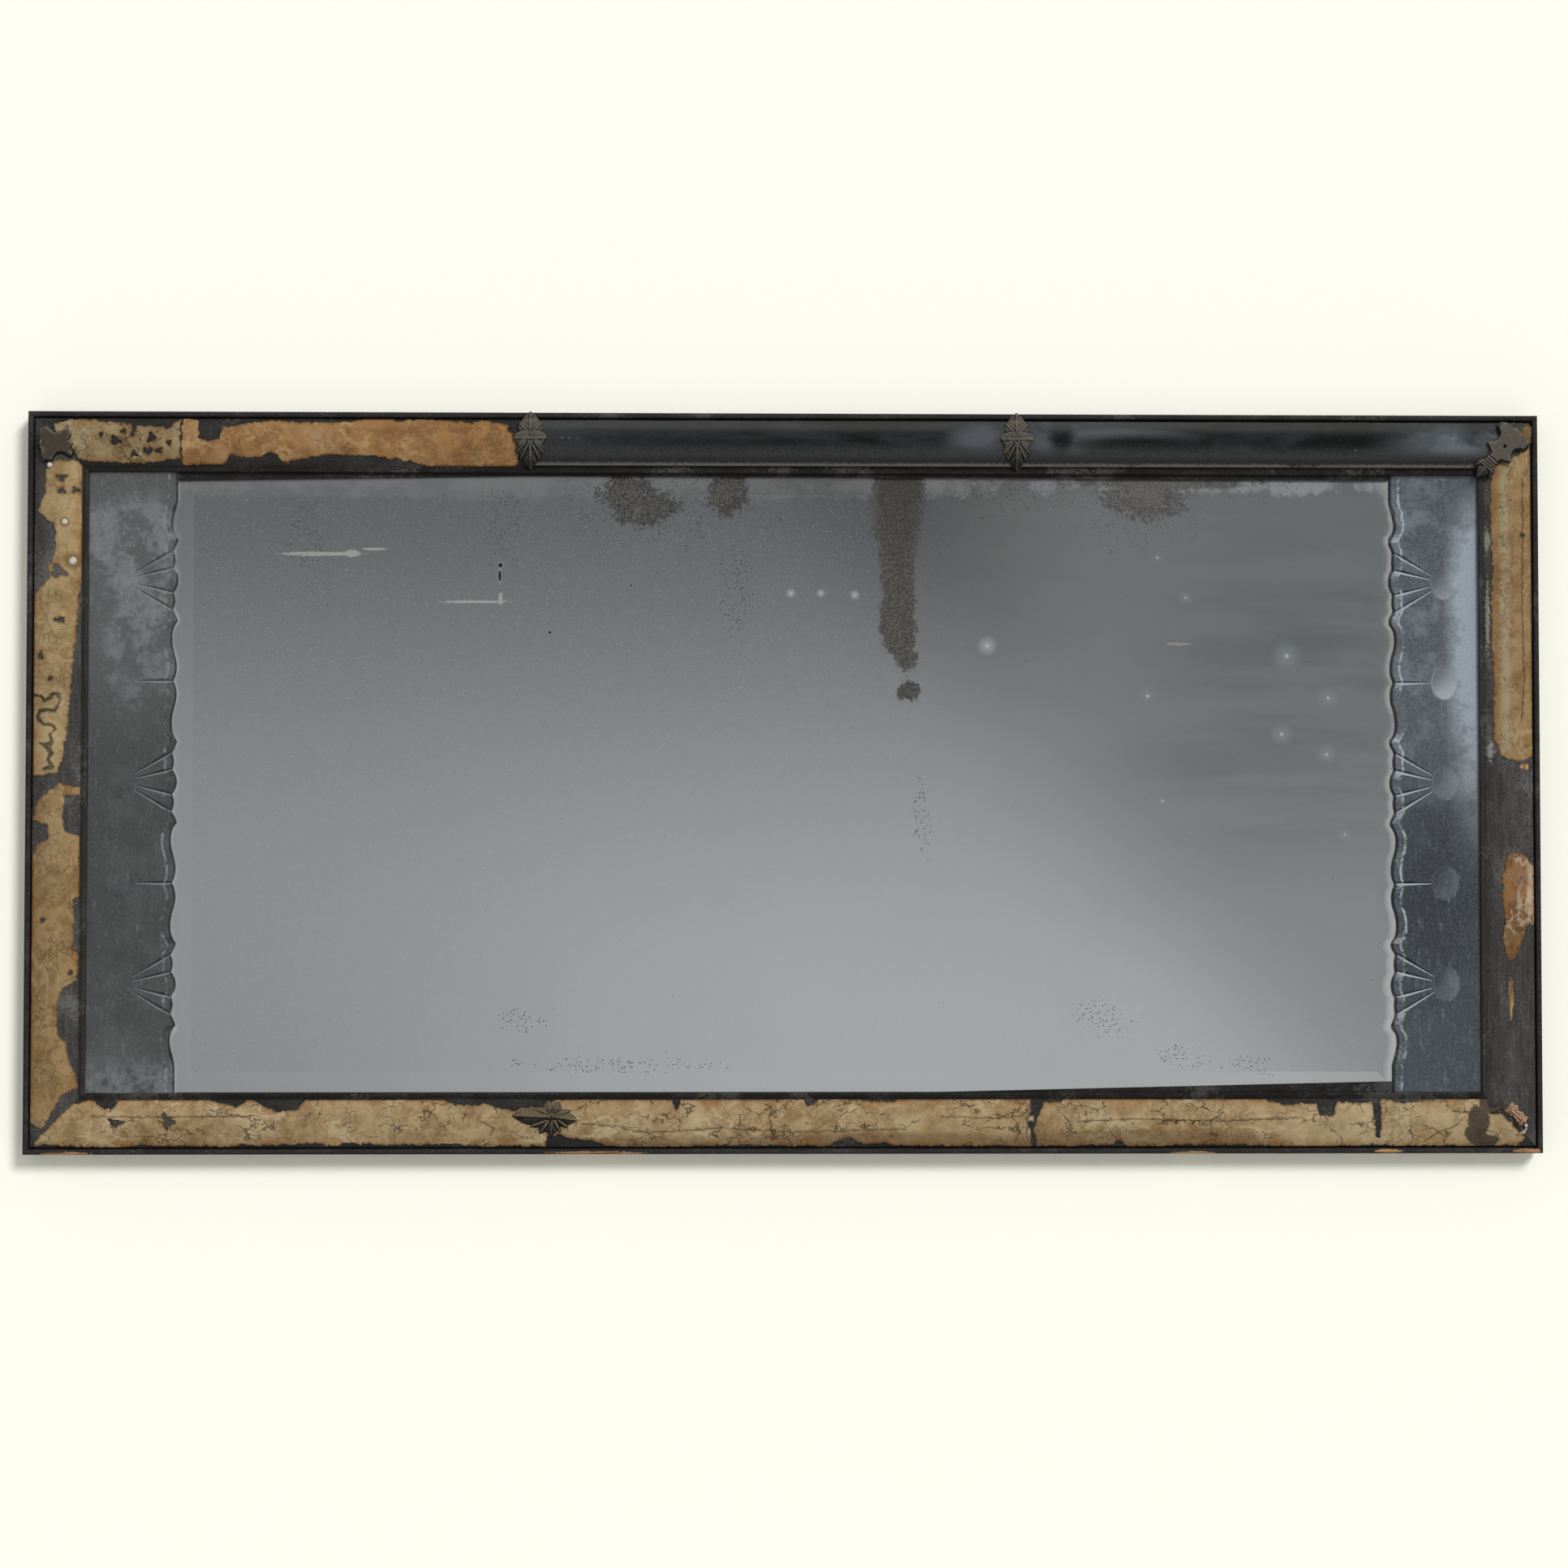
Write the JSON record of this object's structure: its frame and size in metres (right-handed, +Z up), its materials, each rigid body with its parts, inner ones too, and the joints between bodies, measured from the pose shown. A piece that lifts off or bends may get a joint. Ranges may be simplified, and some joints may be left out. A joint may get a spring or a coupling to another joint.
{
  "type": "wall mirror",
  "caption": "Wide wall mirror: a bevelled plate between scalloped, fluted side plates in a black cushion frame with torn paper, bent mirror strips and carved leaves.",
  "frame": {"origin": "the middle of the back, on the plane of the wall", "axes": "+X to the right as seen from the front, +Y from the front into the wall, +Z up"},
  "size_m": [1.864, 0.055, 0.9134],
  "materials": {
    "ebonised_wood": "worn black stain over softwood",
    "main_mirror": "old silvering with grey haze and brown tarnish",
    "side_mirror": "cut and darkened silvering",
    "bent_mirror": "dull, dusty silvering",
    "lining_paper": "torn, stained rag paper",
    "carved_wood": "worn dark carving",
    "broken_wood": "splintered red-brown softwood",
    "black_iron": "blackened, rust-flecked iron",
    "tack_steel": "bright domed heads",
    "peg_wood": "riven hardwood",
    "pine": "aged, unfinished softwood"
  },
  "bodies": {
    "frame": {"back_muntin": "pine", "backboard_left_lower": "pine", "backboard_left_middle": "pine", "backboard_left_upper": "pine", "backboard_right_lower": "pine", "backboard_right_middle": "pine", "backboard_right_upper": "pine", "corner_pegs": "peg_wood", "cushion_bottom": "ebonised_wood", "cushion_glass_centre": "bent_mirror", "cushion_glass_right": "bent_mirror", "cushion_left": "ebonised_wood", "cushion_right": "ebonised_wood", "cushion_top": "ebonised_wood", "hanger_pin_left": "black_iron", "hanger_pin_right": "black_iron", "hanger_plate_left": "black_iron", "hanger_plate_right": "black_iron", "hanger_screws": "black_iron", "leaf_bottom_joint": "carved_wood", "leaf_stub_bottom_right": "broken_wood", "leaf_top_left_corner": "carved_wood", "leaf_top_left_joint": "carved_wood", "leaf_top_right_corner": "carved_wood", "leaf_top_right_joint": "carved_wood", "main_plate": "main_mirror", "muntin_nails": "black_iron", "ornament_pins": "black_iron", "outer_bead_bottom": "ebonised_wood", "outer_bead_left": "ebonised_wood", "outer_bead_right": "ebonised_wood", "outer_bead_top": "ebonised_wood", "packing_left": "pine", "packing_right": "pine", "paper_bottom_left": "lining_paper", "paper_bottom_right": "lining_paper", "paper_left_lower": "lining_paper", "paper_left_upper": "lining_paper", "paper_right_patch": "lining_paper", "paper_right_upper": "lining_paper", "paper_tacks": "tack_steel", "paper_top_corner": "lining_paper", "paper_top_left": "lining_paper", "rail_bottom": "pine", "rail_top": "pine", "retaining_blocks": "pine", "side_plate_left": "side_mirror", "side_plate_right": "side_mirror", "sight_bead_bottom": "ebonised_wood", "sight_bead_left": "ebonised_wood", "sight_bead_right": "ebonised_wood", "sight_bead_top": "ebonised_wood", "slip_bottom": "ebonised_wood", "slip_top": "ebonised_wood", "stile_left": "pine", "stile_right": "pine"},
    "ring_left": {"hanger_ring_left": "black_iron"},
    "ring_right": {"hanger_ring_right": "black_iron"}
  },
  "joints": [
    {"name": "ring_left_swing", "type": "hinge", "parent": "frame", "child": "ring_left", "pos_m": [-0.56, -0.0035, 0.402], "axis": [1, 0, 0], "range_deg": [-10, 115]},
    {"name": "ring_right_swing", "type": "hinge", "parent": "frame", "child": "ring_right", "pos_m": [0.56, -0.0035, 0.402], "axis": [1, 0, 0], "range_deg": [-10, 115]}
  ]
}
